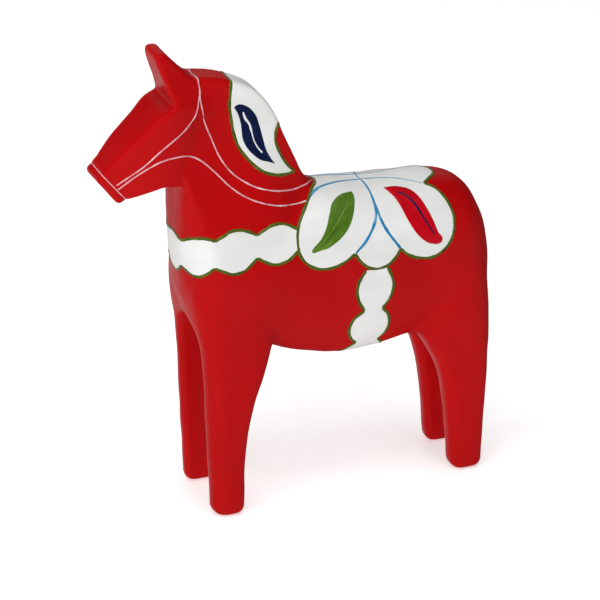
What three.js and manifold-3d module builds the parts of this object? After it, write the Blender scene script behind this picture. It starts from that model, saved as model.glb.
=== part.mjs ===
import * as THREE from 'three';
import { LoftGeometry } from 'three/addons/geometries/LoftGeometry.js';
import { mergeVertices } from 'three/addons/utils/BufferGeometryUtils.js';
import Module from 'manifold-3d';

// Carved and painted wooden horse, in millimetres. Nose towards -X, left side towards -Y, +Z up.
// The blank is three boards glued side by side, so the glue planes are parallel to XZ.

// ---------- driving dimensions ----------
const BOARD = 33.2;            // thickness of the centre board, and offset of the two glue planes
const GAP = 0.3;             // clearance between touching pieces
const BODY_HALF_WIDTH = 46;
const DOWEL_RADIUS = 5;
const DOWEL_HALF_LENGTH = 30;
const PAINT = 0.5;           // thickness of one raised paint layer
const CLEAR_LENGTH = 500;    // cutting shapes reach past the horse to here, in X, in Z and on each side in Y
const CLEAR_HEIGHT = 600;
const CLEAR_SIDE = 70;
const LEAF_START = 4;        // the leaves keep to one side of the horse, so they start past this Y

const PINE_RED = { color: 0xb3090c, roughness: 0.32, metalness: 0 };
const BEECH = { color: 0xc9a26b, roughness: 0.7, metalness: 0 };
const WHITE = { color: 0xe9e9e6, roughness: 0.35, metalness: 0 };
const NAVY = { color: 0x07133c, roughness: 0.3, metalness: 0 };
const GREEN = { color: 0x4d8016, roughness: 0.35, metalness: 0 };
const CRIMSON = { color: 0xc4062b, roughness: 0.3, metalness: 0 };

// ---------- solids ----------
const wasm = await Module();
wasm.setup();

function solidOf(geometry) {
  const bare = new THREE.BufferGeometry().copy(geometry);
  bare.deleteAttribute('normal');
  bare.deleteAttribute('uv');
  const merged = mergeVertices(bare, 1e-4);
  const corners = merged.index.array;
  const kept = [];
  for (let i = 0; i < corners.length; i += 3) {
    const [a, b, c] = corners.slice(i, i + 3);
    if (a !== b && b !== c && c !== a) kept.push(a, b, c);
  }
  return new wasm.Manifold(new wasm.Mesh({
    numProp: 3,
    vertProperties: new Float32Array(merged.attributes.position.array),
    triVerts: new Uint32Array(kept),
  }));
}

function geometryOf(solid) {
  const mesh = solid.getMesh();
  const geometry = new THREE.BufferGeometry();
  geometry.setAttribute('position', new THREE.BufferAttribute(mesh.vertProperties, 3));
  geometry.setIndex(new THREE.BufferAttribute(mesh.triVerts, 1));
  return geometry;
}

function join(solids) {
  return solids.reduce((whole, next) => whole.add(next));
}

// A slab across Y, longer and taller than the horse.
function slab(yLow, yHigh) {
  const geometry = new THREE.BoxGeometry(CLEAR_LENGTH, yHigh - yLow, CLEAR_HEIGHT);
  geometry.translate(0, (yLow + yHigh) / 2, CLEAR_HEIGHT / 4);
  return solidOf(geometry);
}

// ---------- lofts ----------
// Rows of key stations become a smooth run of rows, with `steps` rows to each span.
function smoothRows(rows, steps) {
  const columns = rows[0].map((_, k) => {
    return new THREE.SplineCurve(rows.map((row, i) => new THREE.Vector2(i, row[k])));
  });
  const count = (rows.length - 1) * steps;
  return Array.from({ length: count + 1 }, (_, i) => columns.map((curve) => curve.getPoint(i / count).y));
}

function loft(sections) {
  return solidOf(new LoftGeometry(sections, { capStart: true, capEnd: true }));
}

// A rounded rectangle as [a, b] pairs, anticlockwise, with `steps` spans round each corner.
// The radii are those of the corners high-high, low-high, low-low and high-low.
function roundedBox(aLow, aHigh, bLow, bHigh, radii, steps = 3) {
  const corners = [[aHigh, bHigh, -1, -1], [aLow, bHigh, 1, -1], [aLow, bLow, 1, 1], [aHigh, bLow, -1, 1]];
  return corners.flatMap(([a, b, inA, inB], quarter) => Array.from({ length: steps + 1 }, (_, i) => {
    const radius = radii[quarter];
    const angle = (quarter + i / steps) * Math.PI / 2;
    return [a + radius * (inA + Math.cos(angle)), b + radius * (inB + Math.sin(angle))];
  }));
}

function evenCorners(radius) {
  return [radius, radius, radius, radius];
}

// ---------- barrel: chest, back, belly and rump ----------
// x, underside, top, half width
const BARREL = [
  [-101, 187.5, 223.5, 16],
  [-97, 178.5, 231.5, 26],
  [-89, 170.5, 238.5, 36],
  [-75, 161.5, 243.5, 43.5],
  [-50, 146, 249.5, 46],
  [-20, 129, 256.5, 46],
  [15, 117.5, 266, 46],
  [50, 115, 263.5, 46],
  [85, 120.5, 261, 46],
  [110, 126, 260, 45],
  [129, 130, 255.5, 43.5],
  [144, 134, 247, 39.5],
  [155, 140, 227, 29.5],
  [161.5, 148, 201, 16],
  [164.5, 158, 180, 5.5],
];
const BARREL_SIDES = 36;
const BARREL_FULLNESS = 2.35;   // 2 is an ellipse, more is squarer

function barrel(grow) {
  const sections = smoothRows(BARREL, 2).map(([x, low, high, half]) => {
    const middle = (low + high) / 2;
    const power = 2 / BARREL_FULLNESS;
    const stretch = x < -90 ? -grow : x > 150 ? grow : 0;
    return Array.from({ length: BARREL_SIDES }, (_, i) => {
      const angle = i / BARREL_SIDES * 2 * Math.PI;
      const [c, s] = [Math.cos(angle), Math.sin(angle)];
      const y = (half + grow) * Math.sign(c) * Math.abs(c) ** power;
      const z = middle + ((high - low) / 2 + grow) * Math.sign(s) * Math.abs(s) ** power;
      return new THREE.Vector3(x + stretch, y, z);
    });
  });
  return loft(sections);
}

// ---------- neck: a wedge, narrow along the crest, flaring into the shoulders ----------
// x, crest height, half width of the crest, extra width of the throat side, foot of the wedge
const NECK = [
  [-107, 370, 12, 4, 197.5],
  [-95, 373.5, 12, 4, 197.5],
  [-74, 372, 12, 3, 197.5],
  [-52, 364.5, 12, 1, 197.5],
  [-36, 354, 12, 0, 197.5],
  [-24, 338.5, 12, 0, 197.5],
  [-14.5, 317, 12, 0, 197.5],
  [-5, 294.5, 12, 0, 199.5],
  [5, 274.5, 13, 0, 201.5],
  [18, 257.5, 14, 0, 203.5],
];
const NECK_STEPS = 12;
const NECK_FOOT_HALF = BODY_HALF_WIDTH - 0.3;   // just inside the barrel's flank

function neck(grow) {
  const sections = smoothRows(NECK, 3).map(([x, crest, crestHalf, extra, foot]) => {
    const side = Array.from({ length: NECK_STEPS + 1 }, (_, i) => {
      const t = i / NECK_STEPS;
      const flare = 0.3 * t + 0.7 * Math.sin(t * Math.PI / 2) ** 3;
      const throat = extra * (1 - t) * Math.min(1, 4 * t);
      const half = crestHalf + (NECK_FOOT_HALF - crestHalf) * flare + throat;
      return [half + grow, crest + grow - (crest + grow - foot) * t];
    });
    const right = side.map(([half, z]) => new THREE.Vector3(x, half, z)).reverse();
    const left = side.map(([half, z]) => new THREE.Vector3(x, -half, z));
    return [...right, ...left];
  });
  return loft(sections).intersect(neckFront(grow));
}

// The front of the neck and chest in plan, at rising levels:
// z, set back, half width of the flat front, half width of the flank, depth of the facet between them
const CHEST_FRONT = -104.5;
const CHEST_LEVELS = [
  [188, 3.5, 21, 46, 26],
  [215, 1, 15, 46, 26],
  [240, 0, 16, 42, 24],
  [262, 0, 18, 35, 18],
  [282, 0, 18, 30, 12],
  [298, 0, 20, 27, 6],
  [388, 0, 20, 27, 6],
];
const CHEST_REAR = 60;   // well inside the barrel

function neckFront(grow) {
  return loft(CHEST_LEVELS.map(([z, setBack, flat, half, depth]) => {
    const right = chestCorner(CHEST_FRONT + setBack, flat, half, depth, grow);
    const left = right.map(([x, y]) => [x, -y]).reverse();
    return [...right, ...left].map(([x, y]) => new THREE.Vector3(x, y, z));
  }));
}

// One side of the chest in plan, from the back forward: the flank, a broad slanting facet that bulges
// a little, a small round corner, and the slightly rounded front.
const CHEST_BULGE = 1.3;

function chestCorner(front, flat, half, depth, grow) {
  const edge = front + CHEST_BULGE;
  const facet = new THREE.CubicBezierCurve(
    new THREE.Vector2(front + depth, half),
    new THREE.Vector2(front + 0.45 * depth, half),
    new THREE.Vector2(edge + 1, flat + 5),
    new THREE.Vector2(edge, flat),
  );
  const points = facet.getPoints(7).map(({ x, y }) => [x - grow * 0.8, y + grow * 0.8]);
  const middle = [front + CHEST_BULGE / 4 - grow, flat / 2];
  return [[CHEST_REAR, half + grow], ...points, middle];
}

// ---------- head ----------
// top x, top z, bottom x, bottom z, half width
const HEAD = [
  [-78, 354.5, -84, 297.5, 14],
  [-93, 355, -96, 293.5, 20.5],
  [-107, 356, -107, 288, 24],
  [-119, 351, -117, 290, 24],
  [-131, 339.8, -127, 287, 22.5],
  [-146, 327.3, -137, 283.7, 19.5],
  [-160, 312.5, -147, 281, 16.2],
];
const NOSEBAND_INSET = 0.4;
const MUZZLE = [
  [-161.2, 311, -147.7, 280.7, 16.1, NOSEBAND_INSET],
  [-162.8, 309.2, -148.5, 280.3, 15.9, NOSEBAND_INSET],
  [-163.8, 308.2, -149.1, 280, 16.1, 0],
  [-171.3, 300.3, -153.4, 277.7, 15.6, 0],
];

function headSection([topX, topZ, lowX, lowZ, half, inset = 0], grow) {
  const length = Math.hypot(topX - lowX, topZ - lowZ);
  return roundedBox(-half - grow + inset, half + grow - inset, -grow + inset, length + grow - inset,
    evenCorners(2.2), 2)
    .map(([y, along]) => {
      const t = along / length;
      return new THREE.Vector3(lowX + (topX - lowX) * t, -y, lowZ + (topZ - lowZ) * t);
    });
}

function head(grow) {
  return loft([...smoothRows(HEAD, 2), ...MUZZLE].map((row) => headSection(row, grow)));
}

// ---------- ear block: one wedge across the poll, rising to a rounded ridge ----------
// z, front x, rear x, front half width, rear half width
const EAR = [
  [343.5, -104, -66, 24, 14.5],
  [355.5, -108.5, -74, 23.8, 13.5],
  [372.5, -114.2, -89, 19.8, 12.4],
  [389.5, -120, -105.5, 15.8, 13.6],
  [395.5, -121.2, -110.5, 15, 13.8],
  [398.5, -119.8, -112.5, 13.2, 12.6],
];

function ear() {
  return loft(EAR.map(([z, front, rear, frontHalf, rearHalf]) => [
    new THREE.Vector3(rear, rearHalf, z),
    new THREE.Vector3(front + 1.6, frontHalf, z),
    new THREE.Vector3(front, frontHalf - 1.6, z),
    new THREE.Vector3(front, -frontHalf + 1.6, z),
    new THREE.Vector3(front + 1.6, -frontHalf, z),
    new THREE.Vector3(rear, -rearHalf, z),
  ]));
}

// ---------- legs ----------
// z, front x, rear x, inner y, outer y, then the radii of the outer front, outer rear and inner corners
const FRONT_LEG = [
  [0, -78.5, -65.5, 29.5, 38.6, 4.5, 4, 3],
  [1, -81.6, -62, 26.8, 41.2, 7, 5.5, 4],
  [3, -84.2, -59.6, 25, 42.8, 9.5, 7, 4.5],
  [6.5, -85.8, -58.6, 24.2, 43.8, 11, 8, 4.5],
  [12, -86.4, -58.2, 24, 44, 12, 8, 4],
  [24, -86.6, -58.2, 24.2, 44.1, 12, 8, 4],
  [55.5, -88.2, -56.8, 24.6, 44.4, 12, 8, 3.5],
  [81.5, -89.2, -52.8, 24.8, 44.6, 12.5, 8, 3.5],
  [99.5, -89.7, -48.3, 24.8, 44.8, 13, 8, 3.5],
  [117.5, -90.3, -42, 24.6, 45, 13.5, 9, 3.5],
  [137.5, -91.5, -35.3, 23.8, 45.2, 14.5, 10, 4],
  [149.5, -93, -32.5, 21.5, 45.3, 15.5, 11, 4.5],
  [157.5, -94.3, -31.5, 16.5, 45.3, 16.5, 12, 5],
  [163, -95.4, -31.5, 8, 45.3, 17, 13, 6],
  [168, -96.6, -32.5, -4, 45.2, 18, 14, 8],
  [182, -98.8, -38, -9, 45, 20, 17, 10],
  [197.5, -99.4, -46, -10, 44.6, 21, 18, 10],
  [212.5, -98, -60, -10, 43.5, 18, 17, 10],
];
const HIND_LEG = [
  [0, 132, 145.5, 22.5, 31.6, 3, 4, 3],
  [1, 129, 149, 20, 34.4, 5, 5.5, 4],
  [3, 126.6, 151.4, 18.2, 36.2, 7.5, 7, 4.5],
  [6.5, 125, 152.6, 17.3, 37.2, 9, 8, 4.5],
  [12, 124.3, 153, 17.1, 37.4, 9.5, 8, 4.5],
  [24, 123.6, 153.2, 17.1, 37.6, 9.5, 8, 4.5],
  [43.5, 121.8, 154, 17.2, 38, 10, 8, 4.5],
  [67.5, 119.2, 155, 17.2, 38.8, 10, 8, 4.5],
  [91.5, 114.2, 156, 16.8, 40, 11, 9, 4.5],
  [106.5, 108, 156.6, 15.5, 41.2, 12, 11, 5],
  [117.5, 102, 157, 12.5, 42.3, 14, 13, 5.5],
  [125, 98.5, 157.3, 6, 43, 15, 15, 7],
  [131.5, 96.5, 157.6, -3, 43.5, 17, 16, 9],
  [147.5, 98, 157.8, -8, 44.2, 20, 18, 12],
  [167.5, 104, 157.3, -10, 44.2, 22, 20, 14],
  [192.5, 112, 155.3, -10, 43, 20, 20, 14],
];

function leg(rows, grow) {
  return loft(smoothRows(rows, 2).map(([z, front, rear, inner, outer, ...radii]) => {
    const [frontRadius, rearRadius, innerRadius] = radii.map((radius) => radius + grow);
    const corners = [rearRadius, frontRadius, innerRadius, innerRadius];
    return roundedBox(front - grow, rear + grow, inner - grow, outer + grow, corners)
      .map(([x, y]) => new THREE.Vector3(x, y, z));
  }));
}

// ---------- whole carved body, and layers that follow its surface ----------
function carvedBody(grow) {
  const rightLegs = leg(FRONT_LEG, grow).add(leg(HIND_LEG, grow));
  return join([barrel(grow), neck(grow), head(grow), ear(), rightLegs, rightLegs.mirror([0, 1, 0])]);
}

// The nth paint layer, counted outwards from the wood.
function paintLayer(n) {
  const inside = n * GAP + (n - 1) * PAINT;
  return carvedBody(inside + PAINT).subtract(carvedBody(inside));
}

function dowelAt(x, z, radius, halfLength) {
  const geometry = new THREE.CylinderGeometry(radius, radius, 2 * halfLength, 24);
  geometry.translate(x, 0, z);
  return solidOf(geometry);
}

const DOWELS = {
  dowel_shoulder: [-72, 205],
  dowel_withers: [-30, 235],
  dowel_loin: [60, 190],
  dowel_haunch: [125, 205],
};

// ---------- painted outlines, as [x, z] runs in the side view ----------
// A run is a smooth stretch, and runs meet at the cusps of the brushwork.
const SADDLE = [
  [[17, 285], [17, 266]],
  [[13, 264], [-4, 251], [-13, 234], [-7, 216], [8, 208.5], [26, 212.5], [34, 217]],
  [[42, 206], [54, 201.5], [66, 205], [73.5, 215]],
  [[90, 204], [106, 205], [119, 219], [121, 234], [115, 250], [104, 255.5]],
  [[112, 257], [119, 258.5], [121, 285]],
];
const GIRTH = [
  [[42, 199], [36.3, 187], [41, 167.5]],
  [[32, 157], [32, 144], [40, 134]],
  [[31, 125], [29, 105]],
  [[69, 105]],
  [[67, 124], [59, 132]],
  [[66, 144], [64, 158], [57, 167.5]],
  [[66, 180], [64.5, 192], [60, 199]],
];
const CHEST_BAND = [
  [[-125, 238], [-101.5, 238]],
  [[-98, 245.5], [-90, 248], [-83, 244.5]],
  [[-72, 250.5], [-60, 250.5], [-48, 243]],
  [[-36, 249.5], [-24, 249], [-14.5, 242]],
  [[-15.2, 227]],
  [[-26, 220], [-38, 220], [-49, 227]],
  [[-58, 217], [-70, 215.5], [-80, 222.5]],
  [[-88, 215], [-95, 212], [-101, 208]],
  [[-125, 208]],
];
const MANE_PATCH = [
  [[-60, 390], [-60, 369], [-57, 363]],
  [[-60, 350], [-58, 327], [-53, 310], [-39, 294], [-24, 285], [-5, 281.5]],
  [[-15, 294], [-22, 310], [-21, 326]],
  [[0, 345], [0, 390]],
];
const MANE_LEAF = [
  [[-58, 346], [-48, 346.5], [-39, 338], [-33, 320], [-28, 306], [-22.5, 293]],
  [[-34, 297], [-44, 305], [-51, 319], [-53, 334], [-58, 346]],
];
const FRONT_LEAF = [
  [[-1, 225], [7, 232], [12.5, 241], [17, 251], [26, 257.5], [42, 259]],
  [[38.5, 251], [35, 242], [27, 233], [15, 226], [-1, 225]],
];
const REAR_LEAF = [
  [[68, 257], [80, 257], [91, 252.5], [100, 240], [105.5, 229], [110, 216]],
  [[99, 217], [89, 224], [82.5, 239], [76, 250], [68, 257]],
];

function prism(runs, yLow, yHigh) {
  const shape = new THREE.Shape();
  shape.moveTo(...runs[0][0]);
  runs.forEach((run, i) => {
    const points = i === 0 ? run.slice(1) : run;
    shape.splineThru(points.map(([x, z]) => new THREE.Vector2(x, z)));
  });
  const settings = { depth: yHigh - yLow, bevelEnabled: false, curveSegments: 2 };
  const geometry = new THREE.ExtrudeGeometry(shape, settings);
  geometry.rotateX(Math.PI / 2);
  geometry.translate(0, yHigh, 0);
  return solidOf(geometry);
}

// ---------- assembly ----------
const NOSE_X = MUZZLE[MUZZLE.length - 1][0];
const RUMP_X = BARREL[BARREL.length - 1][0];
const group = new THREE.Group();
group.position.x = -(NOSE_X + RUMP_X) / 2;   // the origin is midway between nose and rump

function addPiece(name, solid, look) {
  const mesh = new THREE.Mesh(geometryOf(solid), new THREE.MeshStandardMaterial(look));
  mesh.name = name;
  group.add(mesh);
}

const dowelHoles = join(Object.values(DOWELS)
  .map(([x, z]) => dowelAt(x, z, DOWEL_RADIUS + GAP, DOWEL_HALF_LENGTH + GAP)));
const body = carvedBody(0).subtract(dowelHoles);
const glueLine = BOARD / 2;
addPiece('centre_board', body.intersect(slab(-glueLine, glueLine)), PINE_RED);
addPiece('left_side_board', body.intersect(slab(-CLEAR_SIDE, -glueLine - GAP)), PINE_RED);
addPiece('right_side_board', body.intersect(slab(glueLine + GAP, CLEAR_SIDE)), PINE_RED);
Object.entries(DOWELS).forEach(([name, [x, z]]) => {
  addPiece(name, dowelAt(x, z, DOWEL_RADIUS, DOWEL_HALF_LENGTH), BEECH);
});

const ground = paintLayer(1);
Object.entries({ saddle: SADDLE, girth_band: GIRTH, chest_band: CHEST_BAND, mane_patch: MANE_PATCH })
  .forEach(([name, runs]) => addPiece(name, ground.intersect(prism(runs, -CLEAR_SIDE, CLEAR_SIDE)), WHITE));

const brushwork = paintLayer(2);
const LEAVES = {
  mane_leaf: [MANE_LEAF, NAVY],
  front_leaf: [FRONT_LEAF, GREEN],
  rear_leaf: [REAR_LEAF, CRIMSON],
};
Object.entries(LEAVES).forEach(([name, [runs, look]]) => {
  addPiece(`${name}_left`, brushwork.intersect(prism(runs, -CLEAR_SIDE, -LEAF_START)), look);
  addPiece(`${name}_right`, brushwork.intersect(prism(runs, LEAF_START, CLEAR_SIDE)), look);
});

export default group;
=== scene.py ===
import math

import bpy
import numpy as np
import openvdb as vdb
from mathutils import Matrix, Vector


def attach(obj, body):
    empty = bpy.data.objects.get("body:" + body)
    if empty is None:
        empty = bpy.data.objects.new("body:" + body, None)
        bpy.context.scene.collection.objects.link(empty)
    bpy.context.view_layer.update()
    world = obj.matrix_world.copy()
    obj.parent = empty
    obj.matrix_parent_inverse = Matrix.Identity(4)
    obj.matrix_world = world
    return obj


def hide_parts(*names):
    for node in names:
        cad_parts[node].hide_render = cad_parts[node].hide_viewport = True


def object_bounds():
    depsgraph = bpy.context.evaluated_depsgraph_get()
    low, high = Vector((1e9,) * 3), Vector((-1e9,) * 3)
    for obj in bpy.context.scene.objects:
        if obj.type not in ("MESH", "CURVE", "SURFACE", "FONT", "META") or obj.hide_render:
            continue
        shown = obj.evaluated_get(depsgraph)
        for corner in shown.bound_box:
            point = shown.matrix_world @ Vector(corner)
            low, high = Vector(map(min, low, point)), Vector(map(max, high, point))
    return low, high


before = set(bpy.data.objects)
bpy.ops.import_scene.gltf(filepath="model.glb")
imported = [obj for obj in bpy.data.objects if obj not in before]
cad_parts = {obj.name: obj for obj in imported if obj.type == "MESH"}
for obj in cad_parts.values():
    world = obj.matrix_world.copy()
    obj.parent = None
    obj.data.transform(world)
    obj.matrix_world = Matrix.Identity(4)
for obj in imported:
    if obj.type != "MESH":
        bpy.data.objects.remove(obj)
cad_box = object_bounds()

# Lengths below are millimetres in the CAD frame: nose towards -X, left side towards -Y, +Z up.
# x is counted from a plane RUMP in front of the rump's end, so SHIFT moves it to the CAD origin.
MM = 0.001
RUMP = 165.5
SHIFT = Vector((cad_box[1][0] / MM - RUMP, 0, 0))


# ---------- camera, light and floor ----------
AZIMUTH, ELEVATION = math.radians(21.4), math.radians(25.5)
DISTANCE = 3595.0
AIM = Vector((-6.0, -28.4, 176.4)) + SHIFT
LENS = 270.0

back = Vector((-math.sin(AZIMUTH) * math.cos(ELEVATION),
               -math.cos(AZIMUTH) * math.cos(ELEVATION),
               math.sin(ELEVATION)))
right = Vector((math.cos(AZIMUTH), -math.sin(AZIMUTH), 0))
camera = bpy.data.objects.new("camera", bpy.data.cameras.new("camera"))
turned = Matrix((right, back.cross(right), back)).transposed().to_4x4()
camera.matrix_world = Matrix.Translation((AIM + back * DISTANCE) * MM) @ turned
camera.data.lens = LENS
camera.data.clip_end = 50
bpy.context.scene.collection.objects.link(camera)
bpy.context.scene.camera = camera
bpy.context.scene.view_settings.view_transform = "Standard"


def soft_light(name, azimuth, elevation, distance, width, height, watts, in_gloss):
    """A rectangular lamp aimed at the horse. Angles are in degrees and lengths in metres."""
    data = bpy.data.lights.new(name, "AREA")
    data.shape = "RECTANGLE"
    data.size, data.size_y = width, height
    data.energy = watts
    lamp = bpy.data.objects.new(name, data)
    a, e = math.radians(azimuth), math.radians(elevation)
    away = Vector((-math.sin(a) * math.cos(e), -math.cos(a) * math.cos(e), math.sin(e)))
    lamp.location = AIM * MM + away * distance
    lamp.rotation_euler = away.to_track_quat("Z", "Y").to_euler()
    lamp.visible_glossy = in_gloss
    lamp.visible_camera = False
    bpy.context.scene.collection.objects.link(lamp)


soft_light("key", 42, 16, 2.4, 1.8, 1.4, 27, False)
soft_light("side", 80, 50, 2.6, 1.6, 1.6, 18, False)
soft_light("top", 0, 80, 2.6, 2.0, 2.0, 28, False)
soft_light("glint", -8, 58, 2.6, 0.9, 0.5, 6, True)
soft_light("fill", -60, 20, 2.6, 1.6, 1.6, 2, False)
soft_light("back_fill", 190, 35, 2.8, 1.8, 1.4, 10, False)


def studio(base, seen, lobes):
    """The room seen in reflections: dark, with soft bright regions of (direction, inner and outer angle,
    strength). The camera itself sees a plain bright room."""
    world = bpy.data.worlds.new("studio")
    world.use_nodes = True
    bpy.context.scene.world = world
    nodes, links = world.node_tree.nodes, world.node_tree.links
    nodes.clear()
    way = nodes.new("ShaderNodeTexCoord")
    total = None
    for direction, inner, outer, strength in lobes:
        dot = nodes.new("ShaderNodeVectorMath")
        dot.operation = "DOT_PRODUCT"
        dot.inputs[1].default_value = Vector(direction).normalized()
        links.new(way.outputs["Generated"], dot.inputs[0])
        ramp = nodes.new("ShaderNodeMapRange")
        ramp.interpolation_type = "SMOOTHSTEP"
        ramp.inputs["From Min"].default_value = math.cos(math.radians(outer))
        ramp.inputs["From Max"].default_value = math.cos(math.radians(inner))
        ramp.inputs["To Min"].default_value = 0
        ramp.inputs["To Max"].default_value = strength
        links.new(dot.outputs["Value"], ramp.inputs["Value"])
        both = nodes.new("ShaderNodeMath")
        both.inputs[1].default_value = base
        links.new(ramp.outputs[0], both.inputs[0])
        if total:
            links.new(total.outputs[0], both.inputs[1])
        total = both
    lit = nodes.new("ShaderNodeBackground")
    links.new(total.outputs[0], lit.inputs["Strength"])
    plain = nodes.new("ShaderNodeBackground")
    plain.inputs["Strength"].default_value = seen
    path = nodes.new("ShaderNodeLightPath")
    mix = nodes.new("ShaderNodeMixShader")
    links.new(path.outputs["Is Camera Ray"], mix.inputs[0])
    links.new(lit.outputs[0], mix.inputs[1])
    links.new(plain.outputs[0], mix.inputs[2])
    out = nodes.new("ShaderNodeOutputWorld")
    links.new(mix.outputs[0], out.inputs["Surface"])


studio(0.06, 1.0, [((-0.36, 0.84, -0.43), 14, 40, 0.8), ((0.25, 0.8, 0.5), 12, 34, 0.6)])


# ---------- materials ----------
RELIEF_SCALE = 320
COAT_ROUGHNESS = 0.12


def material(name, colours, colour_scale, roughness, bump, marks=(1, 1, 1), slope=0.0,
             specular=0.5, coat=0.0, glow=0.0):
    """Paint with slow colour drift and brush relief. `bump` is a height in millimetres. `marks` is how
    long the brush marks are along x, y and z, after a turn by `slope` about y."""
    made = bpy.data.materials.new(name)
    made.use_nodes = True
    nodes, links = made.node_tree.nodes, made.node_tree.links
    shader = nodes["Principled BSDF"]
    place = nodes.new("ShaderNodeTexCoord")
    mapping = nodes.new("ShaderNodeMapping")
    mapping.vector_type = "TEXTURE"
    mapping.inputs["Rotation"].default_value = (0, slope, 0)
    mapping.inputs["Scale"].default_value = marks
    links.new(place.outputs["Object"], mapping.inputs["Vector"])

    def noise(scale, detail, rough=0.55):
        n = nodes.new("ShaderNodeTexNoise")
        n.inputs["Scale"].default_value = scale
        n.inputs["Detail"].default_value = detail
        n.inputs["Roughness"].default_value = rough
        links.new(mapping.outputs[0], n.inputs["Vector"])
        return n

    drift = noise(colour_scale, 4)
    ramp = nodes.new("ShaderNodeValToRGB")
    ramp.color_ramp.interpolation = "EASE"
    ramp.color_ramp.elements[0].position = 0.22
    ramp.color_ramp.elements[1].position = 0.78
    for element, colour in zip(ramp.color_ramp.elements, (colours[0], colours[-1])):
        element.color = (*colour, 1)
    if len(colours) == 3:
        ramp.color_ramp.elements.new(0.5).color = (*colours[1], 1)
    links.new(drift.outputs["Fac"], ramp.inputs["Fac"])
    links.new(ramp.outputs["Color"], shader.inputs["Base Color"])

    patchy = noise(colour_scale * 3, 3)
    gloss = nodes.new("ShaderNodeMapRange")
    gloss.interpolation_type = "SMOOTHSTEP"
    gloss.inputs["From Min"].default_value = 0.15
    gloss.inputs["From Max"].default_value = 0.85
    gloss.inputs["To Min"].default_value = roughness[0]
    gloss.inputs["To Max"].default_value = roughness[1]
    links.new(patchy.outputs["Fac"], gloss.inputs["Value"])
    links.new(gloss.outputs[0], shader.inputs["Roughness"])

    relief = noise(RELIEF_SCALE, 4, 0.5)
    raised = nodes.new("ShaderNodeBump")
    raised.inputs["Strength"].default_value = 1.0
    raised.inputs["Distance"].default_value = bump * MM
    links.new(relief.outputs["Fac"], raised.inputs["Height"])
    links.new(raised.outputs[0], shader.inputs["Normal"])
    shader.inputs["Specular IOR Level"].default_value = specular
    shader.inputs["Coat Weight"].default_value = coat
    shader.inputs["Coat Roughness"].default_value = COAT_ROUGHNESS
    shader.inputs["Emission Color"].default_value = (1, 1, 1, 1)
    shader.inputs["Emission Strength"].default_value = glow
    return made


ALONG_LEAF = (4, 1, 0.8)     # brush marks that run along a leaf
RED = material("red_lacquer", [(0.40, 0.0025, 0.0035), (0.47, 0.003, 0.004)], 14, (0.26, 0.38), 0.06,
               (1, 1, 2.2), specular=0.07)
BEECH = material("beech", [(0.46, 0.26, 0.11), (0.62, 0.40, 0.20)], 60, (0.55, 0.75), 0.15,
                 (0.17, 1.7, 0.17))
WHITE = material("white_paint", [(0.72, 0.73, 0.71), (0.79, 0.795, 0.78)], 40, (0.28, 0.42), 0.10,
                 (3.5, 1.5, 0.8), specular=0.4)
OLIVE = material("olive_outline", [(0.045, 0.075, 0.005), (0.075, 0.11, 0.008), (0.15, 0.17, 0.02)],
                 90, (0.2, 0.35), 0.1)
NAVY = material("navy_paint", [(0.0012, 0.005, 0.034), (0.003, 0.012, 0.075)], 90, (0.22, 0.36), 0.1,
                ALONG_LEAF, 1.0)
GREEN = material("green_paint", [(0.03, 0.08, 0.004), (0.065, 0.155, 0.009), (0.14, 0.26, 0.02)], 130,
                 (0.22, 0.36), 0.16, ALONG_LEAF, -0.68)
CRIMSON = material("crimson_paint", [(0.40, 0.0015, 0.006), (0.56, 0.003, 0.012)], 90, (0.12, 0.25), 0.12,
                   ALONG_LEAF, 0.77, specular=0.25, coat=0.12)
LIME = material("leaf_rib", [(0.10, 0.21, 0.015), (0.15, 0.29, 0.03)], 120, (0.2, 0.35), 0.08)
BLUE = material("blue_line", [(0.003, 0.09, 0.25), (0.008, 0.215, 0.44), (0.16, 0.46, 0.60)], 90,
                (0.25, 0.4), 0.08)
PINK = material("rein_line", [(0.44, 0.10, 0.14), (0.68, 0.38, 0.42), (0.84, 0.72, 0.72)], 120,
                (0.3, 0.45), 0.06)
FLOOR = material("floor", [(0.88, 0.88, 0.88), (0.90, 0.90, 0.90)], 3, (0.8, 0.9), 0.02,
                 specular=0.0, glow=0.45)


# ---------- the coat's surface as a distance field ----------
VOXEL = 1.65
LOW = VOXEL * np.array([-110, -38, -9])
SHAPE = (221, 77, 258)
CORNER = tuple(int(round(v / VOXEL)) for v in LOW)
CLOSING = 0.6      # half the widest gap between boards that the coat bridges


def triangles_of(names):
    points, faces, start = [], [], 0
    for name in names:
        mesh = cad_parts[name].data
        mesh.calc_loop_triangles()
        co = np.empty(len(mesh.vertices) * 3, np.float32)
        mesh.vertices.foreach_get("co", co)
        tri = np.empty(len(mesh.loop_triangles) * 3, np.int32)
        mesh.loop_triangles.foreach_get("vertices", tri)
        points.append(co.reshape(-1, 3) / MM - np.array(SHIFT))
        faces.append(tri.reshape(-1, 3) + start)
        start += len(mesh.vertices)
    return np.concatenate(points).astype(np.float32), np.concatenate(faces).astype(np.uint32)


def level_set(points, triangles, quads, half_width):
    return vdb.FloatGrid.createLevelSetFromPolygons(
        points, triangles=triangles, quads=quads, halfWidth=half_width,
        transform=vdb.createLinearTransform(voxelSize=VOXEL))


def distance_field(points, triangles):
    rough = level_set(points, triangles, np.zeros((0, 4), np.uint32), 3)
    shell, quads = rough.convertToQuads(CLOSING)
    wide = level_set(shell, np.zeros((0, 3), np.uint32), quads, 12)
    values = np.zeros(SHAPE, np.float32)
    wide.copyToArray(values, ijk=CORNER)
    return values + CLOSING


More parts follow.
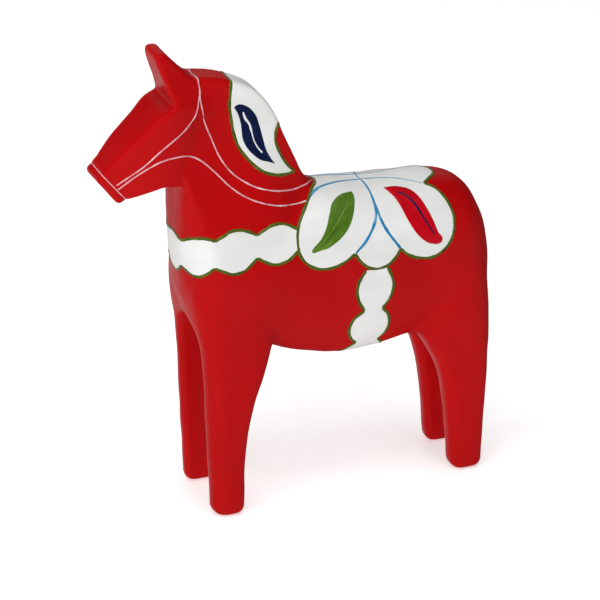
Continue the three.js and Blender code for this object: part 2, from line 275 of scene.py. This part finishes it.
def blurred(values, sigma):
    reach = int(math.ceil(3 * sigma / VOXEL))
    taps = np.exp(-0.5 * (np.arange(-reach, reach + 1) * VOXEL / sigma) ** 2)
    taps /= taps.sum()
    for axis in range(3):
        padded = np.pad(values, [(reach, reach) if a == axis else (0, 0) for a in range(3)], mode="edge")
        total = np.zeros_like(values)
        for i, tap in enumerate(taps):
            window = [slice(None)] * 3
            window[axis] = slice(i, i + values.shape[axis])
            total += np.float32(tap) * padded[tuple(window)]
        values = total
    return values


def step(low, high, x):
    t = np.clip((x - low) / (high - low), 0, 1)
    return t * t * (3 - 2 * t)


def nearest(points, line):
    """Distance from each point to a polyline, and the length along it of the nearest place."""
    a, d = line[:-1], np.diff(line, axis=0)
    size = (d ** 2).sum(1)
    along = np.concatenate([[0], np.cumsum(np.sqrt(size))])
    best, place = np.full(len(points), np.inf), np.zeros(len(points))
    for i in range(len(a)):
        t = np.clip((points - a[i]) @ d[i] / size[i], 0, 1)
        gap = ((points - a[i] - t[:, None] * d[i]) ** 2).sum(1)
        closer = gap < best
        best[closer] = gap[closer]
        place[closer] = along[i] + t[closer] * math.sqrt(size[i])
    return np.sqrt(best), place


CREST = np.array([(-107, 372), (-94, 374), (-73, 372), (-51, 364.5), (-35, 354), (-23, 338.5),
                  (-13.5, 317), (-4, 294.5), (6, 274.5)], float)
CREST_HALF = 12
NOSEBAND_TOP, NOSEBAND_LOW = Vector((-164.2, 0, 303.4)), Vector((-146.6, 0, 281.6))
GROOVE_DEPTH, GROOVE_HALF_WIDTH = 0.75, 1.1
SWELL_HEIGHT = 0.055


def carved(values):
    """Rounds the carving: crisp on head, ears, crest and feet, softer on legs, softest on the barrel."""
    fine, middle, broad = blurred(values, 1.1), blurred(values, 2.2), blurred(values, 4.6)
    near = np.argwhere(np.abs(values) < 14)
    index = tuple(near.T)
    x, y, z = (near * VOXEL + LOW).T
    crest_gap, _ = nearest(np.stack([x, z], 1), CREST)
    edge_gap = np.hypot(crest_gap, np.abs(np.abs(y) - CREST_HALF))
    crisp = np.maximum.reduce([
        step(-84, -94, x) * step(264, 272, z),
        step(-86, -94, x) * step(196, 212, z) * step(30, 24, np.abs(y)),
        step(334, 344, z) * step(-60, -72, x),
        step(14, 6, edge_gap) * step(276, 292, z),
        step(12, 6, z)])
    legs = step(168, 140, z) * np.maximum(step(-30, -42, x), step(92, 104, x))
    value = broad[index] * (1 - legs) + middle[index] * legs
    value = value * (1 - crisp) + fine[index] * crisp
    # a shallow groove under the noseband
    band = NOSEBAND_TOP - NOSEBAND_LOW
    across = Vector((-band.z, 0, band.x)).normalized()
    gap = (x - NOSEBAND_LOW.x) * across.x + (z - NOSEBAND_LOW.z) * across.z
    value += GROOVE_DEPTH * np.exp(-(gap / GROOVE_HALF_WIDTH) ** 2) * step(-130, -140, x)
    # the knife leaves slow hollows and swells
    rng = np.random.default_rng(7)
    swell = np.zeros(len(x))
    for _ in range(14):
        way = rng.normal(size=3)
        way *= 2 * math.pi / rng.uniform(18, 42) / np.linalg.norm(way)
        swell += np.sin(way[0] * x + way[1] * y + way[2] * z + rng.uniform(0, 6.3))
    value += SWELL_HEIGHT * swell * step(2, 10, z)
    broad[index] = value
    return broad


def with_gradient(values):
    return np.stack([values, *np.gradient(values, VOXEL)], -1).astype(np.float32)


def look_up(points):
    """The field and its gradient at points, by trilinear interpolation."""
    q = (points - LOW) / VOXEL
    i = np.clip(np.floor(q).astype(int), 0, np.array(SHAPE) - 2)
    f = q - i
    total = 0
    for corner in range(8):
        o = np.array([corner >> 2 & 1, corner >> 1 & 1, corner & 1])
        weight = np.prod(np.where(o == 1, f, 1 - f), axis=1)
        j = i + o
        total = total + FIELD[j[:, 0], j[:, 1], j[:, 2]] * weight[:, None]
    return total[:, 0], total[:, 1:]


def settle(points, rounds=3):
    """Moves points onto the coat's surface, and returns them with the outward normals there."""
    for _ in range(rounds):
        value, slope = look_up(points)
        points = points - slope * (value / np.maximum((slope ** 2).sum(1), 0.05))[:, None]
    _, slope = look_up(points)
    return points, slope / np.linalg.norm(slope, axis=1)[:, None]


def cast(start, way, reach):
    """The first place where a line from start + way * reach, coming back along way, meets the coat."""
    t = np.full(len(start), float(reach))
    for _ in range(60):
        value, _ = look_up(start + way * t[:, None])
        t -= np.maximum(value, 0.0) * 0.8
    return settle(start + way * t[:, None], 2)


BOARDS = ["centre_board", "left_side_board", "right_side_board"]
DOWELS = ["dowel_shoulder", "dowel_withers", "dowel_loin", "dowel_haunch"]
FIELD = with_gradient(carved(distance_field(*triangles_of(BOARDS + DOWELS))))


# ---------- pieces ----------
def piece(name, points, faces, look, stands_for=()):
    mesh = bpy.data.meshes.new(name)
    mesh.from_pydata(((np.asarray(points) + np.array(SHIFT)) * MM).tolist(), [], [list(f) for f in faces])
    mesh.shade_smooth()
    made = bpy.data.objects.new(name, mesh)
    bpy.context.scene.collection.objects.link(made)
    made.data.materials.append(look)
    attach(made, "root")
    if stands_for:
        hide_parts(*stands_for)


def coat_surface():
    grid = vdb.FloatGrid(1.0)
    grid.transform = vdb.createLinearTransform(voxelSize=VOXEL)
    grid.copyFromArray(np.ascontiguousarray(FIELD[..., 0]), ijk=CORNER)
    points, quads = grid.convertToQuads(0.0)
    points, normals = settle(points.astype(float))
    quads = quads.astype(int)
    a, b, c, d = (points[quads[:, k]] for k in range(4))
    facing = (np.cross(c - a, d - b) * normals[quads[:, 0]]).sum(1)
    if np.median(facing) < 0:
        quads = quads[:, ::-1]
    return points, quads


COAT_POINTS, COAT_QUADS = coat_surface()
piece("red_coat", COAT_POINTS, COAT_QUADS.tolist(), RED, BOARDS)

for name in DOWELS:
    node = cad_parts[name]
    node.data.materials.clear()
    node.data.materials.append(BEECH)


# ---------- flat maps for the brushwork ----------
# Over the barrel: x, and the length s round the section from the top of the back, positive on the left.
# Round the chest: the length u round the plan from the middle of the chest, and z.
# On the neck: x and z, as seen from the side.
SECTION_CENTRE, SECTION_FULLNESS = 191, 2.35
SECTION_HALF_WIDTH, SECTION_HALF_HEIGHT = 46, 74
CHEST = [(-103.4, 0), (-103.1, 8), (-102.2, 14.5), (-100.8, 19.5), (-96, 29), (-90, 37.5), (-84, 42.6),
         (-72, 45.7), (30, 46)]


def lengths_of(line):
    return np.concatenate([[0], np.cumsum(np.linalg.norm(np.diff(line, axis=0), axis=1))])


def section_curve():
    a = np.linspace(0, math.pi, 241)
    power = 2 / SECTION_FULLNESS
    y = SECTION_HALF_WIDTH * np.abs(np.sin(a)) ** power
    z = SECTION_CENTRE + SECTION_HALF_HEIGHT * np.sign(np.cos(a)) * np.abs(np.cos(a)) ** power
    return np.stack([y, z], 1)


SECTION, PLAN = section_curve(), np.array(CHEST, float)
HALF_ROUND = lengths_of(SECTION)[-1]


def on_curve(curve, at):
    """Points of a plane curve at lengths `at`, with the run of the curve there."""
    lengths = lengths_of(curve)

    def place(s):
        return np.stack([np.interp(s, lengths, curve[:, k]) for k in (0, 1)], 1)
    run = place(at + 2) - place(at - 2)
    return place(at), run / np.linalg.norm(run, axis=1)[:, None]


def over_back(flat):
    x, s = flat.T
    s = (s + HALF_ROUND) % (2 * HALF_ROUND) - HALF_ROUND
    side = np.where(s < 0, 1.0, -1.0)
    point, run = on_curve(SECTION, np.abs(s))
    inner = np.stack([x, side * point[:, 0], point[:, 1]], 1)
    return cast(inner, np.stack([0 * x, -side * run[:, 1], run[:, 0]], 1), 25)


def round_chest(flat):
    u, z = flat.T
    side = np.where(u < 0, 1.0, -1.0)
    point, run = on_curve(PLAN, np.abs(u))
    inner = np.stack([point[:, 0], side * point[:, 1], z], 1)
    return cast(inner, np.stack([-run[:, 1], side * run[:, 0], 0 * z], 1), 20)


def on_neck(flat):
    inner = np.stack([flat[:, 0], 0 * flat[:, 0], flat[:, 1]], 1)
    return cast(inner, np.tile([0.0, -1.0, 0.0], (len(flat), 1)), 58)


def flat_of_back(points):
    _, s = nearest(np.stack([np.abs(points[:, 1]), points[:, 2]], 1), SECTION)
    return np.stack([points[:, 0], s], 1)


def flat_of_chest(points):
    _, u = nearest(np.stack([points[:, 0], np.abs(points[:, 1])], 1), PLAN)
    return np.stack([u, points[:, 2]], 1)


def flat_of_neck(points):
    return points[:, [0, 2]]


def mirrored(points):
    return points * (1, -1, 1)


# ---------- brush strokes ----------
def smooth(knots, spacing=0.6):
    """A smooth line through knots, as closely spaced points."""
    k = np.asarray(knots, float)
    k = np.concatenate([2 * k[:1] - k[1:2], k, 2 * k[-1:] - k[-2:-1]])
    rows = []
    for a, b, c, d in zip(k[:-3], k[1:-2], k[2:-1], k[3:]):
        count = max(2, int(np.linalg.norm(c - b) / spacing))
        t = np.arange(count)[:, None] / count
        rows.append(0.5 * (2 * b + (c - a) * t + (2 * a - 5 * b + 4 * c - d) * t ** 2
                           + (3 * b - a - 3 * c + d) * t ** 3))
    return np.concatenate(rows + [k[-2:-1]])


def evenly(line, spacing=0.6):
    lengths = lengths_of(line)
    at = np.linspace(0, lengths[-1], max(3, int(lengths[-1] / spacing)))
    return np.stack([np.interp(at, lengths, line[:, k]) for k in range(line.shape[1])], 1)


ACROSS = np.linspace(-1, 1, 7)
UNDER = np.array([0.7, -0.7])
SUNK = 0.35                    # how far the foot of the paint is under the coat's surface
WIDTH_SWELL, SWELL_LENGTH = 0.12, 14
brush = np.random.default_rng(21)


def unsteady(at):
    """A slow random swell along a stroke, about 1."""
    total = sum(np.sin(at * 2 * math.pi / (SWELL_LENGTH * brush.uniform(0.5, 1.6)) + brush.uniform(0, 6.3))
                for _ in range(4))
    return 1 + WIDTH_SWELL * total / 2


def stroke(line, width, height, closed=False):
    """One painted line along points on the coat: a low rounded ridge with its foot in the coat.
    `width` is one number, or one for each of some even stations along the line."""
    centre, _ = settle(evenly(np.asarray(line, float)))
    if closed:
        centre = centre[:-1]
    centre, normal = settle(centre)
    at = lengths_of(centre)
    run = np.roll(centre, -1, 0) - np.roll(centre, 1, 0) if closed else np.gradient(centre, axis=0)
    side = np.cross(normal, run)
    side /= np.linalg.norm(side, axis=1)[:, None]
    stations = np.linspace(0, 1, np.size(width))
    full = np.interp(at / at[-1], stations, np.atleast_1d(width)) * unsteady(at)
    if not closed:
        from_end = np.minimum(at, at[-1] - at) / (full / 2)
        taper = np.sqrt(1 - (1 - np.clip(from_end, 0.03, 1)) ** 2)
        full = full * taper
    count, ring = len(centre), len(ACROSS) + len(UNDER)
    offsets = np.concatenate([ACROSS, UNDER])
    points = centre[:, None] + side[:, None] * (full[:, None] / 2 * offsets)[..., None]
    points, out = settle(points.reshape(-1, 3), 2)
    rise = np.concatenate([height * (1 - ACROSS ** 2) ** 0.6 - 0.05, [-SUNK, -SUNK]])
    rise = np.tile(rise, (count, 1))
    if not closed:
        rise[:, :len(ACROSS)] *= np.clip(taper, 0.3, 1)[:, None]
    points += out * rise.reshape(-1, 1)
    first = np.arange(count if closed else count - 1)
    i, k = np.meshgrid(first, np.arange(ring), indexing="ij")
    j, m = (i + 1) % count, (k + 1) % ring
    quads = np.stack([i * ring + k, i * ring + m, j * ring + m, j * ring + k], -1).reshape(-1, 4).tolist()
    if not closed:
        quads.append(list(range(ring))[::-1])
        quads.append([(count - 1) * ring + n for n in range(ring)])
    return points, quads


def strokes(name, made, look):
    """One piece out of several strokes."""
    points, faces, start = [], [], 0
    for p, f in made:
        points.append(p)
        faces += [[v + start for v in face] for face in f]
        start += len(p)
    piece(name, np.concatenate(points), faces, look)


# ---------- filled patches ----------
def signed_distance(points, outline):
    """Distance to a closed outline, negative inside it."""
    ring = np.concatenate([outline, outline[:1]])
    gap, _ = nearest(points, ring)
    inside = np.zeros(len(points), bool)
    x, y = points.T
    for (x0, y0), (x1, y1) in zip(ring[:-1], ring[1:]):
        if y0 != y1:
            inside ^= ((y0 > y) != (y1 > y)) & (x < (x1 - x0) * (y - y0) / (y1 - y0) + x0)
    return np.where(inside, -gap, gap)


def edges_of(triangles):
    return np.concatenate([triangles[:, [0, 1]], triangles[:, [1, 2]], triangles[:, [2, 0]]])


def finer(points, triangles):
    """Cuts each triangle into four."""
    edges = np.sort(edges_of(triangles), axis=1)
    unique, back_to = np.unique(edges, axis=0, return_inverse=True)
    mid = (back_to.reshape(3, -1) + len(points)).T
    points = np.concatenate([points, (points[unique[:, 0]] + points[unique[:, 1]]) / 2])
    a, b, c = triangles.T
    ab, bc, ca = mid.T
    quarters = ((a, ab, ca), (ab, b, bc), (ca, bc, c), (ab, bc, ca))
    return points, np.concatenate([np.stack(t, 1) for t in quarters])


def compact(points, triangles):
    used, back_to = np.unique(triangles, return_inverse=True)
    return points[used], back_to.reshape(triangles.shape)


def cut(points, triangles, value):
    """Keeps the part of a surface where value < 0, with new corners where an edge crosses 0."""
    value = np.where(np.abs(value) < 1e-4, -1e-4, value)
    inside = value < 0
    count = inside[triangles].sum(1)
    kept = [triangles[count == 3]]
    new_points, known = [], {}

    def crossing(i, j):
        key = (min(i, j), max(i, j))
        if key not in known:
            t = value[i] / (value[i] - value[j])
            known[key] = len(points) + len(new_points)
            new_points.append(points[i] + (points[j] - points[i]) * t)
        return known[key]

    for tri in triangles[(count == 1) | (count == 2)].tolist():
        flags = [inside[v] for v in tri]
        lone = flags.index(sum(flags) == 1)
        a, b, c = tri[lone:] + tri[:lone]
        ab, ac = crossing(a, b), crossing(a, c)
        kept.append([[a, ab, ac]] if inside[a] else [[ab, b, c], [ab, c, ac]])
    points = np.concatenate([points, new_points])
    return compact(points, np.concatenate(kept).astype(int))


COAT_TRIANGLES = np.concatenate([COAT_QUADS[:, [0, 1, 2]], COAT_QUADS[:, [0, 2, 3]]])


def patch(name, flatten, outline, box, lift, rim, look, stands_for, levels=0, rough=0.0, side=0):
    """A filled patch of paint: the coat's own surface inside an outline, raised, with a rounded rim.
    `box` is the lowest and highest corner of where to look, and side -1 or 1 keeps one side of the horse.
    `levels` is how often the coat's mesh is refined under the patch."""
    low, high = np.array(box, float)
    near = ((COAT_POINTS > low) & (COAT_POINTS < high)).all(1)
    points, triangles = compact(COAT_POINTS, COAT_TRIANGLES[near[COAT_TRIANGLES].all(1)])
    value = signed_distance(flatten(points), outline)
    keep = (value[triangles].min(1) < 2.5) & (points[triangles][..., 1].mean(1) * side >= 0)
    points, triangles = compact(points, triangles[keep])
    for _ in range(levels):
        points, triangles = finer(points, triangles)
    if levels:
        points, _ = settle(points, 2)
    points, triangles = cut(points, triangles, signed_distance(flatten(points), outline))
    points, normals = settle(points, 2)
    depth = np.clip(-signed_distance(flatten(points), outline) / rim, 0, 1)
    height = lift * np.sqrt(1 - (1 - depth) ** 2) - 0.04
    if rough:
        height += rough * depth * lumps(points)
    edges = edges_of(triangles)
    keys = edges.min(1).astype(np.int64) * len(points) + edges.max(1)
    _, first, times = np.unique(keys, return_index=True, return_counts=True)
    rims = edges[first[times == 1]]
    n = len(points)
    walls = np.stack([rims[:, 1], rims[:, 0], rims[:, 0] + n, rims[:, 1] + n], 1)
    faces = triangles.tolist() + (triangles[:, ::-1] + n).tolist() + walls.tolist()
    both = np.concatenate([points + normals * height[:, None], points - normals * SUNK])
    piece(name, both, faces, look, stands_for)


def lumps(points):
    """The uneven thickness of wet paint, from -1 to 1."""
    rng = np.random.default_rng(3)
    total = np.zeros(len(points))
    for _ in range(8):
        way = rng.normal(size=3)
        way *= 2 * math.pi / rng.uniform(2.5, 7) / np.linalg.norm(way)
        total += np.sin(points @ way + rng.uniform(0, 6.3))
    return total / 8


GROUND_HEIGHT, GROUND_RIM = 0.3, 1.0
OUTLINE_WIDTH, OUTLINE_HEIGHT = 3.0, 0.52


def white_ground(name, flatten, outline, box, node):
    patch(name, flatten, outline, box, GROUND_HEIGHT, GROUND_RIM, WHITE, [node])


def outlines(name, lines):
    strokes(name, [stroke(line, OUTLINE_WIDTH, OUTLINE_HEIGHT) for line in lines], OLIVE)


# ---------- saddle ----------
# Outlines are runs of (x, s) knots, which meet at the cusps of the brushwork.
SADDLE_FRONT = [(17, 0), (15.5, 6), (10, 13), (4, 22), (-4, 34), (-9.5, 44), (-12, 54), (-11.5, 65), (-6, 74),
                (4, 80), (16, 80.5), (27, 77), (35, 72)]
SADDLE_MIDDLE = [(35, 72), (40, 80), (47, 86), (54.5, 88), (63, 86), (70, 80), (74, 74)]
SADDLE_REAR = [(74, 74), (81, 80.5), (92, 85), (103, 85.5), (114, 79.5), (120.5, 70), (123, 58), (121.5, 48),
               (118, 38), (112, 27.5), (104.5, 21)]
SADDLE_TAIL = [(104.5, 21), (112, 14), (117.5, 7), (119, 0)]


def flip(knots):
    return [(x, -s) for x, s in knots][::-1]


def both_ways(knots):
    return [knots, flip(knots)]


saddle_runs = [flip(SADDLE_FRONT) + SADDLE_FRONT[1:], SADDLE_TAIL + flip(SADDLE_TAIL)[1:]]
saddle_runs += both_ways(SADDLE_MIDDLE) + both_ways(SADDLE_REAR)
outline = np.concatenate([smooth(run) for run in (SADDLE_FRONT, SADDLE_MIDDLE, SADDLE_REAR, SADDLE_TAIL)]
                         + [[(119, -5), (17, -5)]])
white_ground("saddle_white", flat_of_back, outline, [(-20, -60, 175), (130, 60, 275)], "saddle")
outlines("saddle_outline", [over_back(smooth(run))[0] for run in saddle_runs])

# ---------- girth ----------
GIRTH_FRONT = [[(44, 88), (38, 97), (36.5, 106), (38.5, 115), (43.5, 124)],
               [(43.5, 124), (35, 131), (32, 141), (34.5, 151), (40.5, 159)],
               [(40.5, 159), (35, 167), (31.5, 181), (30.5, HALF_ROUND)]]
GIRTH_REAR = [[(62.5, 88), (66.5, 98), (67.5, 106), (65, 115), (58.5, 124)],
              [(58.5, 124), (64, 131), (66, 141), (64.5, 151), (59.5, 159)],
              [(59.5, 159), (64.5, 167), (67.5, 181), (68.5, HALF_ROUND)]]


def under_belly(knots):
    return knots + [(x, 2 * HALF_ROUND - s) for x, s in knots[:-1]][::-1]


outline = np.concatenate([smooth(run) for run in GIRTH_FRONT] + [[(30.5, 205), (68.5, 205)]]
                         + [smooth(run[::-1]) for run in GIRTH_REAR[::-1]])
white_ground("girth_white", flat_of_back, outline, [(24, -60, 100), (76, 60, 215)], "girth_band")
girth_runs = [under_belly(side[2]) for side in (GIRTH_FRONT, GIRTH_REAR)]
for side in (GIRTH_FRONT, GIRTH_REAR):
    girth_runs += both_ways(side[0]) + both_ways(side[1])
outlines("girth_outline", [over_back(smooth(run))[0] for run in girth_runs])

# ---------- chest band, as runs of (u, z) ----------
BAND_TOP = [[(0, 242.5), (7, 241.8), (14, 240)],
            [(14, 240), (19, 240.8), (26.5, 244.5), (36.5, 247), (43, 246.5), (49, 243.8)],
            [(49, 243.8), (57, 247.2), (66, 250), (74, 249.6), (81, 247), (87.3, 243.3)],
            [(87.3, 243.3), (95, 246.2), (103, 248.3), (112, 247.2), (123, 241.5)]]
BAND_LOW = [[(0, 209), (6, 210), (11, 213.3), (14.7, 217.3)],
            [(14.7, 217.3), (21.4, 215.2), (28, 213.4), (35, 214), (42, 217.5), (49, 223.3)],
            [(49, 223.3), (58.5, 218.7), (64, 216.6), (70, 216.6), (76, 218.5), (86, 226)],
            [(86, 226), (91.5, 222.4), (98.5, 219), (106, 218.8), (114, 221.6), (122.5, 228)]]


def across_chest(knots):
    return [(-u, z) for u, z in knots[1:]][::-1] + knots


outline = np.concatenate([smooth(run) for run in BAND_TOP] + [smooth(run[::-1]) for run in BAND_LOW[::-1]]
                         + [[(-5, 209.8), (-5, 242)]])
white_ground("chest_white", flat_of_chest, outline, [(-112, -60, 196), (0, 60, 258)], "chest_band")
band_runs = [across_chest(BAND_TOP[0]), across_chest(BAND_LOW[0])]
for run in BAND_TOP[1:] + BAND_LOW[1:]:
    band_runs += [run, [(-u, z) for u, z in run]]
outlines("chest_outline", [round_chest(smooth(run))[0] for run in band_runs])

# ---------- mane patch, as runs of (x, z) ----------
MANE_FRONT = [(-57.6, 363), (-58.3, 357), (-59.4, 348), (-58.8, 336), (-56.7, 322.6), (-53, 312), (-47, 303),
              (-39, 294), (-31, 288.3), (-20, 284.2), (-11, 282.7), (-5, 283)]
MANE_BACK = [(-5, 283), (-9.3, 287), (-14.7, 294.6), (-19.2, 304), (-21.4, 312.7), (-20, 322.5)]
PAST_CREST = [(-18, 326.5), (0, 333), (0, 390), (-56.5, 390), (-57, 367)]
outline = np.concatenate([smooth(MANE_FRONT), smooth(MANE_BACK), PAST_CREST])
white_ground("mane_white", flat_of_neck, outline, [(-70, -60, 275), (8, 60, 380)], "mane_patch")


def over_crest(side_line, upward):
    """Takes a line on the left side on over the crest, in the plane of y and `upward`, and down the
    other side."""
    upward = np.array(upward) / np.linalg.norm(upward)
    below = 10
    centre = side_line[-1] * (1, 0, 1) - below * upward
    start = math.degrees(math.atan2(below, -side_line[-1, 1]))
    a = np.radians(np.linspace(start + 4, 90, 14))[:, None]
    top, _ = cast(np.tile(centre, (len(a), 1)), np.cos(a) * (0, -1, 0) + np.sin(a) * upward, 30)
    line = np.concatenate([side_line, top])
    return np.concatenate([line, mirrored(line)[::-1][1:]])


front = on_neck(smooth(MANE_FRONT))[0][::-1]
rear = on_neck(smooth(MANE_BACK))[0]
mane_lines = [over_crest(front, (0.15, 0, 1)), over_crest(rear, (0.915, 0, 0.404))]
outlines("mane_outline", [smooth(evenly(line, 4)) for line in mane_lines])

# ---------- leaves ----------
MANE_LEAF = [[(-56.3, 346), (-52.3, 347.6), (-47.5, 346.4), (-42, 342.5), (-37.3, 336), (-34.5, 327),
              (-32, 316),
              (-30, 307), (-26.5, 299.5), (-22, 293)],
             [(-22, 293), (-28.3, 296), (-36.2, 299.6), (-42.8, 305.7), (-47.5, 312.1), (-50.4, 320),
              (-51, 330),
              (-52.7, 338.5), (-56.3, 346)]]
FRONT_LEAF = [[(-1.6, 64), (0.6, 61.6), (7.5, 55.5), (13, 47), (17, 38), (22, 28.5), (31, 22), (42, 20)],
              [(42, 20), (42, 28), (38, 40), (32.5, 50), (25, 57.5), (14, 63.8), (5, 65.6), (1, 66.4),
               (-1, 66), (-1.6, 64)]]
REAR_LEAF = [[(69, 20), (80, 20), (90, 24.5), (96, 33), (101, 45.5), (105, 57), (107.6, 65.6),
              (110.4, 69.4), (111, 72.6),
              (109, 75.2), (105, 75.8)],
             [(105, 75.8), (97, 72.6), (89, 64.5), (82.5, 52), (78, 38.5), (74.3, 29.3), (69, 20)]]
FAR_LEAF_DROP = 3      # the far rear leaf sits a little lower, out of sight behind the back


def leaf_outline(runs):
    return np.concatenate([smooth(run)[:-1] for run in runs])


for side, hand in ((-1, "left"), (1, "right")):
    patch(f"mane_leaf_{hand}_paint", flat_of_neck, leaf_outline(MANE_LEAF), [(-65, -60, 285), (-15, 60, 355)],
          0.5, 0.9, NAVY, [f"mane_leaf_{hand}"], 2, 0.05, side)
    patch(f"front_leaf_{hand}_paint", flat_of_back, leaf_outline(FRONT_LEAF), [(-5, -60, 215), (50, 60, 270)],
          0.5, 0.9, GREEN, [f"front_leaf_{hand}"], 2, 0.06, side)
    drop = (0, FAR_LEAF_DROP if hand == "right" else 0)
    patch(f"rear_leaf_{hand}_paint", flat_of_back, leaf_outline(REAR_LEAF) + drop,
          [(60, -60, 200), (118, 60, 270)], 0.7, 1.1, CRIMSON, [f"rear_leaf_{hand}"],
          2, 0.10, side)

MANE_VEIN = [(-48.5, 341), (-46.9, 335.3), (-43.7, 330), (-41.9, 323), (-40.1, 315.4), (-37.1, 309.3),
             (-33.5, 304.6)]
GREEN_VEIN = [(37, 25), (33, 33), (26.5, 41), (18, 50), (9.5, 58), (4, 62.5)]
RED_VEIN = [(79.5, 26.5), (86, 32), (91, 40), (95, 49.5), (99.5, 59), (104, 67.5)]


def both_sides(line, width, height):
    return [stroke(line, width, height), stroke(mirrored(line), width, height)]


mane_vein = on_neck(smooth(MANE_VEIN))[0]
green_vein = over_back(smooth(GREEN_VEIN))[0]
red_vein = over_back(smooth(RED_VEIN))[0]
strokes("mane_veins", both_sides(mane_vein, [1.5, 3.3, 3.1, 1.9, 1.5, 1.6, 2.0], 0.72), WHITE)
strokes("front_leaf_veins", both_sides(green_vein, [1.6, 3.0, 2.8, 1.4], 0.62), OLIVE)
strokes("front_leaf_ribs", both_sides(green_vein, [0.7, 1.3, 1.3, 0.8], 0.84), LIME)
strokes("rear_leaf_veins", both_sides(red_vein, [1.8, 2.8, 2.6, 2.0, 1.4], 1.1), NAVY)

# ---------- blue lines on the saddle ----------
BLUE_ARCH = [(6, 19.5), (13, 14), (21, 10), (32, 7.5), (44, 6), (56, 5.5), (68, 6.2), (80, 8.5),
             (93, 14), (104, 21)]
BLUE_STEM = [(57.5, -36), (57, -23), (55.5, -10), (54, 0), (55.5, 10), (57, 23), (57.5, 36)]
BLUE_BRANCHES = [[(57.5, 34), (56.5, 44), (52, 54), (44.5, 64), (35.5, 72)],
                 [(57.5, 34), (60, 48), (65, 60), (74.3, 74.2)]]
blue = both_sides(over_back(smooth(BLUE_ARCH))[0], [3.2, 3.3, 2.7, 2.0, 1.5, 1.1, 0.8], 0.5)
blue += [stroke(over_back(smooth(BLUE_STEM))[0], [2.9, 2.4, 1.8, 2.4, 2.9], 0.5)]
for run in BLUE_BRANCHES:
    blue += both_sides(over_back(smooth(run))[0], [2.6, 3.1, 3.3, 2.7], 0.52)
strokes("blue_lines", blue, BLUE)

# ---------- reins and noseband, through places on the left side ----------
HEADSTALL = [(-86, 0, 373), (-85.3, -8, 372), (-84.6, -12.8, 369.5), (-84.1, -14.5, 363.2),
             (-85.9, -17, 357.6),
             (-89.8, -20.5, 347.4), (-97, -21.8, 338.4), (-108.7, -24, 330.1), (-121.8, -23.4, 320.5),
             (-135.3, -20.7, 308.7), (-154.5, -15, 295.1)]
UPPER_REIN = [(-84.3, -14.2, 365), (-84.6, -17, 356), (-83.3, -18, 346), (-80.7, -17.6, 335.5),
              (-76.3, -19.2, 323.1),
              (-70.5, -21.2, 308), (-62.1, -23.2, 295.1), (-51.8, -24.7, 285.9), (-40, -25.4, 278.7),
              (-25, -24, 273.1),
              (-8, -18.3, 269.3), (3.6, -13, 269.2), (13, -3, 267)]
LOWER_REIN = [(-153.5, -15.4, 291.3), (-141.1, -18.8, 300.9), (-129, -22.2, 308.9), (-117, -23.7, 313.8),
              (-103, -23, 314.6), (-91.9, -21.7, 311.6), (-83.2, -22.7, 305.1), (-74.5, -24.3, 295.9),
              (-64.7, -26.3, 284.8),
              (-54.7, -27.7, 276), (-41.7, -28.9, 268.3), (-25.4, -28.2, 262.2), (-10, -24, 259),
              (3, -20.2, 258.6)]
REIN_WIDTH, REIN_HEIGHT = 1.3, 0.32
NOSEBAND_WIDTH, NOSEBAND_HEIGHT = 0.95, 0.3
headstall = smooth(HEADSTALL)
reins = [stroke(np.concatenate([headstall[::-1], mirrored(headstall)[1:]]), REIN_WIDTH, REIN_HEIGHT)]
reins += both_sides(smooth(UPPER_REIN), REIN_WIDTH, REIN_HEIGHT)
reins += both_sides(smooth(LOWER_REIN), REIN_WIDTH, REIN_HEIGHT)
up = np.array((NOSEBAND_TOP - NOSEBAND_LOW).normalized())
turn = np.linspace(0, 2 * math.pi, 241)[:, None]
middle = np.array((NOSEBAND_TOP + NOSEBAND_LOW) / 2)
ring, _ = cast(np.tile(middle, (len(turn), 1)), np.cos(turn) * (0, -1, 0) + np.sin(turn) * up, 26)
reins += [stroke(ring, NOSEBAND_WIDTH, NOSEBAND_HEIGHT, closed=True)]
strokes("reins", reins, PINK)


# ---------- floor ----------
floor_mesh = bpy.data.meshes.new("floor")
FAR = 8
floor_mesh.from_pydata([(-FAR, -FAR, 0), (FAR, -FAR, 0), (FAR, FAR, 0), (-FAR, FAR, 0)], [], [(0, 1, 2, 3)])
floor = bpy.data.objects.new("floor", floor_mesh)
floor.data.materials.append(FLOOR)
floor.visible_glossy = False
bpy.context.scene.collection.objects.link(floor)
